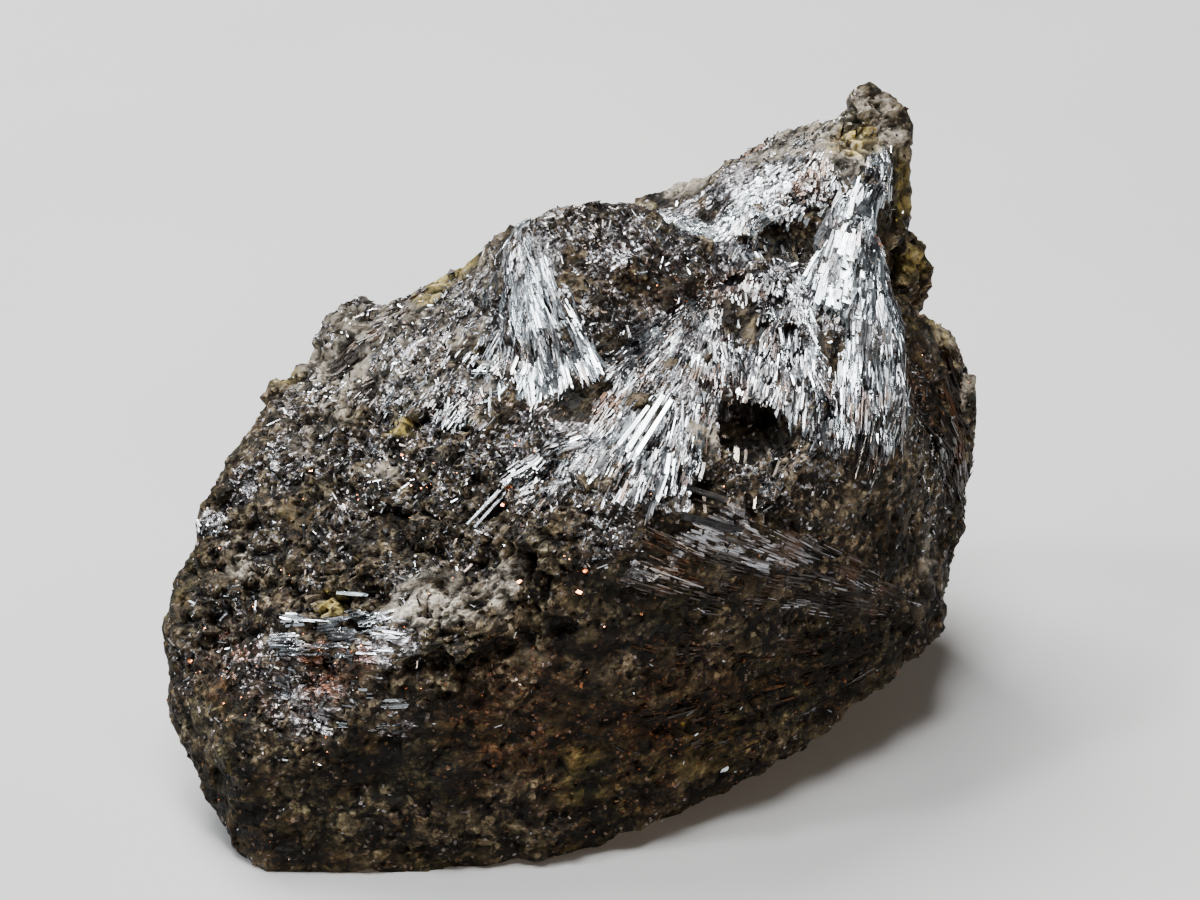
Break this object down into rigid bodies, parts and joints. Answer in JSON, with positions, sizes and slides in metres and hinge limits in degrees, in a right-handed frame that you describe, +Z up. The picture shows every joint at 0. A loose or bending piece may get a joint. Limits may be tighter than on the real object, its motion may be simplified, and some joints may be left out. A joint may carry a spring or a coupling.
{
  "type": "stibnite mineral specimen",
  "caption": "Hand specimen of massive stibnite, a broken lump with radiating sprays of bladed metallic crystals and a flat resting face.",
  "frame": {"origin": "middle of the bounding box at the height of the flat resting face", "axes": "+Z up, +X along the longest extent towards the tall peak, -Y is the face with the sprays"},
  "size_m": [0.0706, 0.0498, 0.0523],
  "materials": {
    "stibnite": "lead-grey metallic blades and fibres on dull brown granular matrix, with cream and ochre crust"
  },
  "bodies": {
    "root": {"stibnite_mass": "stibnite"}
  },
  "joints": []
}
